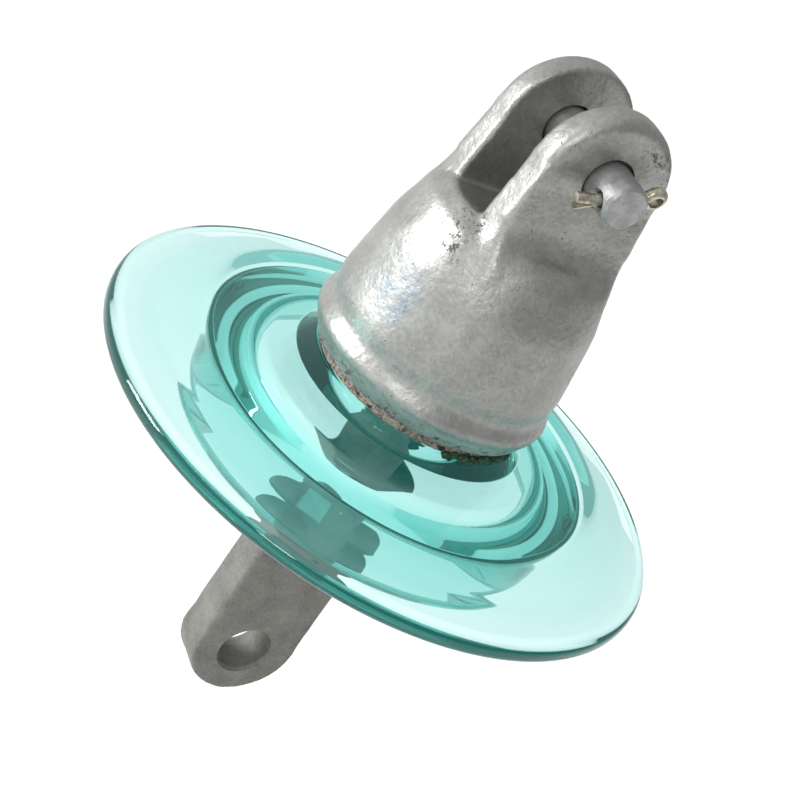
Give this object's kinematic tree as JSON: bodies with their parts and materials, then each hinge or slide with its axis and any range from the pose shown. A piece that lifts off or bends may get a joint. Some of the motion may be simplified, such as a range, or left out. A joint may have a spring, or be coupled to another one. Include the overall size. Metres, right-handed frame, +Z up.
{
  "type": "glass suspension disc insulator",
  "caption": "Cap and pin suspension insulator: toughened glass disc with a cast clevis cap above, a clevis pin held by a split pin, and a forged tongue with a hole below.",
  "frame": {"origin": "on the clevis pin's axis, midway between the two ears", "axes": "+Z up along the insulator's axis towards the clevis; +Y along the clevis pin's and the tongue hole's axes, towards the pin's head; +X across the slot"},
  "size_m": [0.178, 0.178, 0.2263],
  "materials": {
    "cap_metal": "hot-dip galvanised casting, dull light grey with an orange-peel grain",
    "tongue_metal": "hot-dip galvanised forging, darker and rougher",
    "pin_metal": "galvanised steel, satin",
    "split_pin_metal": "tinned brass wire, satin",
    "glass": "clear pale aqua toughened glass, teal in thick sections",
    "cement": "rough Portland cement",
    "bitumen": "dull black bitumen film",
    "cork": "matte pressed cork"
  },
  "bodies": {
    "insulator": {"cap": "cap_metal", "cap_coating": "bitumen", "cap_cement": "cement", "head_cushion": "cork", "glass_shell": "glass", "pin_cushion": "cork", "pin_cement": "cement", "pin_coating": "bitumen", "tongue_pin": "tongue_metal"},
    "clevis_pin": {"clevis_pin": "pin_metal"},
    "cotter_pin": {"cotter_pin": "split_pin_metal"}
  },
  "joints": [
    {"name": "clevis_pin_turn", "type": "hinge", "parent": "insulator", "child": "clevis_pin", "pos_m": [0, 0, 0], "axis": [0, 1, 0], "continuous": true},
    {"name": "cotter_pin_turn", "type": "hinge", "parent": "clevis_pin", "child": "cotter_pin", "pos_m": [0, -0.024, 0], "axis": [0.9397, 0, 0.342], "continuous": true}
  ]
}
